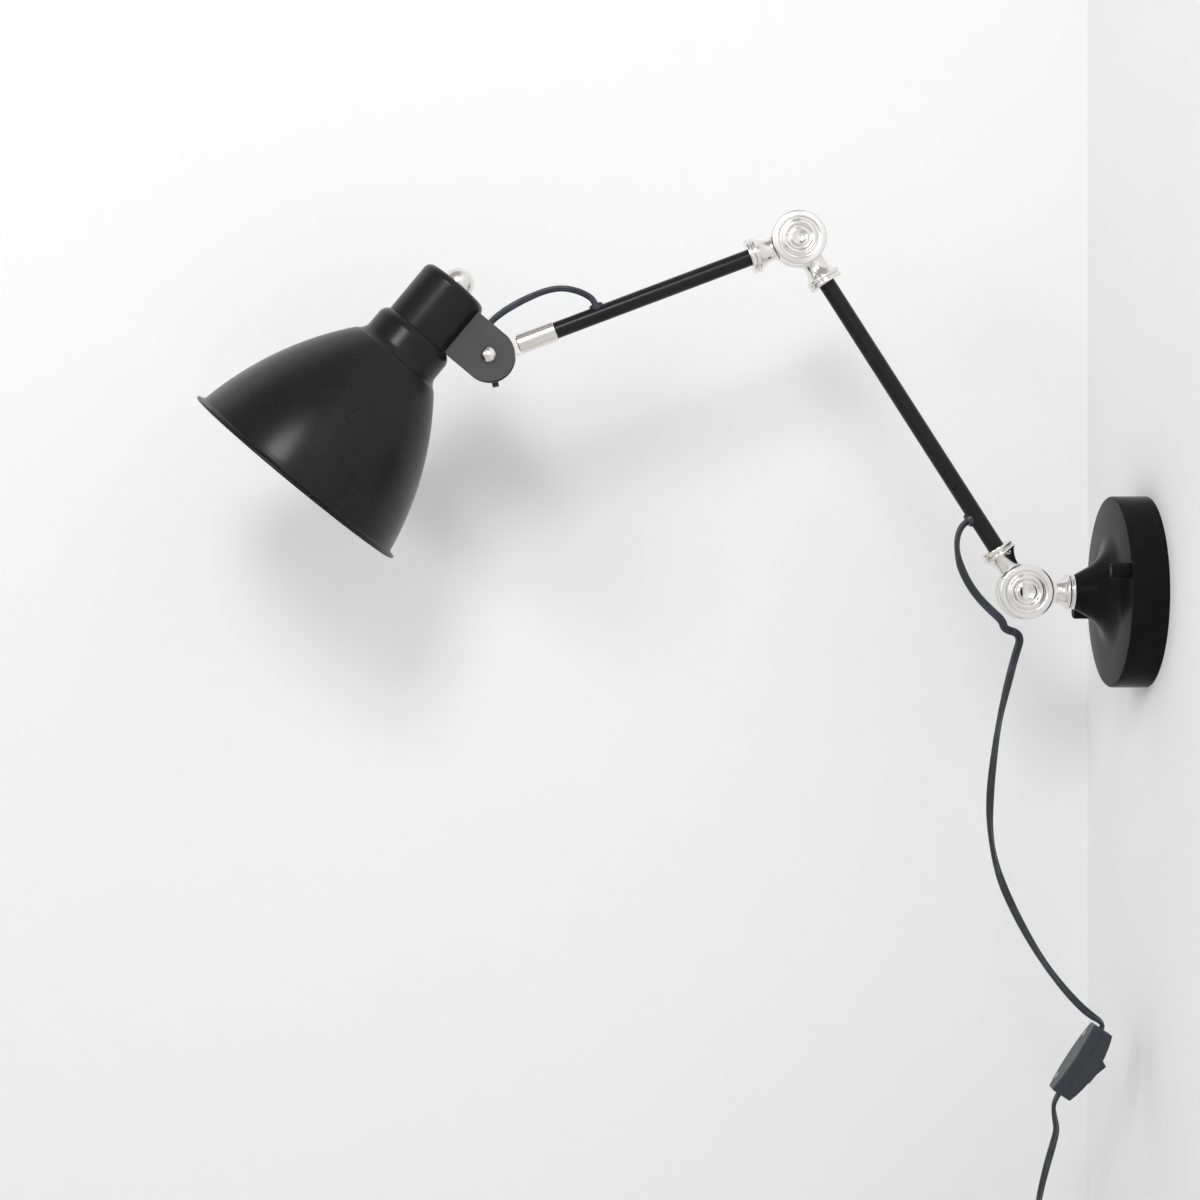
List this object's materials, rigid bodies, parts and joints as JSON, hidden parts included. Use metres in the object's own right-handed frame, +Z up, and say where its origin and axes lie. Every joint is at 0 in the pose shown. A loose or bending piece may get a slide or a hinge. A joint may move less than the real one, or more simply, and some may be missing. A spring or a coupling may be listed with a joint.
{
  "type": "articulating wall lamp",
  "caption": "Wall lamp: round canopy, jointed tube arm on turned knuckles, tilting bell shade, and a flat cord with a line switch and a plug.",
  "frame": {"origin": "centre of the canopy's back, on the wall plane", "axes": "+X into the wall, the lamp reaches towards -X; +Z up; the arms lie in the plane Y = 0"},
  "size_m": [0.5857, 0.1556, 0.8294],
  "materials": {
    "black_satin": "satin black paint",
    "black_gloss": "gloss black paint",
    "zinc_steel": "zinc plated steel",
    "nickel": "polished nickel",
    "friction_washer": "black nylon",
    "grey_bracket": "matt dark grey paint",
    "black_wing": "black paint",
    "grommet": "black rubber",
    "cord": "black flat twin cord",
    "tie": "black strap",
    "switch_black": "moulded black plastic",
    "plug_black": "moulded black plastic",
    "contacts": "brass",
    "porcelain": "pale moulded insulator"
  },
  "bodies": {
    "wall_base": {"canopy": "black_gloss", "mounting_plate": "zinc_steel", "canopy_studs": "zinc_steel", "cap_nuts": "black_gloss", "base_nipple": "zinc_steel", "nipple_locknut": "zinc_steel", "nipple_washer": "zinc_steel", "hanging_cord": "cord", "switch_back_shell": "switch_black", "switch_front_shell": "switch_black", "switch_screws": "zinc_steel", "switch_contacts": "contacts", "tail_cord": "cord", "cord_coil": "cord", "coil_tie": "tie", "plug_lead": "cord", "plug_body": "plug_black", "plug_blades": "contacts"},
    "base_knuckle": {"base_knuckle_near": "nickel", "base_swivel_screw": "nickel", "base_pivot_bolt": "nickel", "base_pivot_nut": "nickel", "base_friction_washer": "friction_washer"},
    "lower_arm": {"lower_arm_knuckle_far": "nickel", "lower_arm_set_screw": "nickel", "lower_arm_tube": "black_satin", "lower_cord_grommet": "grommet", "lower_inner_cord": "cord", "elbow_knuckle_near": "nickel", "elbow_near_set_screw": "nickel", "elbow_pivot_bolt": "nickel", "elbow_pivot_nut": "nickel", "elbow_friction_washer": "friction_washer", "arm_cord": "cord"},
    "upper_arm": {"elbow_knuckle_far": "nickel", "elbow_far_set_screw": "nickel", "upper_arm_tube": "black_satin", "upper_cord_grommet": "grommet", "upper_inner_cord": "cord", "head_stem": "nickel", "head_cord": "cord"},
    "head": {"shade": "black_satin", "socket_cup": "black_satin", "finial_nut": "nickel", "finial_rod": "zinc_steel", "finial_locknut": "zinc_steel", "lamp_holder": "porcelain", "screw_shell": "contacts", "centre_contact": "contacts", "clevis_bracket": "grey_bracket", "bracket_screws": "zinc_steel", "head_pivot_bolt": "nickel", "head_friction_washers": "friction_washer"},
    "wing_nut": {"wing_nut": "black_wing"},
    "switch_rocker": {"switch_rocker": "switch_black"}
  },
  "joints": [
    {"name": "base_swivel", "type": "hinge", "parent": "wall_base", "child": "base_knuckle", "pos_m": [-0.05, 0, 0], "axis": [1, 0, 0], "range_deg": [-90, 90], "deforming": ["hanging_cord"]},
    {"name": "base_hinge", "type": "hinge", "parent": "base_knuckle", "child": "lower_arm", "pos_m": [-0.0744, 0, 0], "axis": [0, 1, 0], "range_deg": [-75, 40], "deforming": ["arm_cord"]},
    {"name": "elbow_hinge", "type": "hinge", "parent": "lower_arm", "child": "upper_arm", "pos_m": [-0.21447, 0, 0.21869], "axis": [0, -1, 0], "range_deg": [-78, 50]},
    {"name": "head_tilt", "type": "hinge", "parent": "upper_arm", "child": "head", "pos_m": [-0.40633, 0, 0.14646], "axis": [0, -1, 0], "range_deg": [-40, 60], "deforming": ["head_cord"]},
    {"name": "wing_turn", "type": "hinge", "parent": "head", "child": "wing_nut", "pos_m": [-0.40633, 0.012, 0.14646], "axis": [0, 1, 0], "continuous": true},
    {"name": "rocker_tilt", "type": "hinge", "parent": "wall_base", "child": "switch_rocker", "pos_m": [-0.03437, 0, -0.29438], "axis": [0, 1, 0], "range_deg": [-24, 0]}
  ]
}
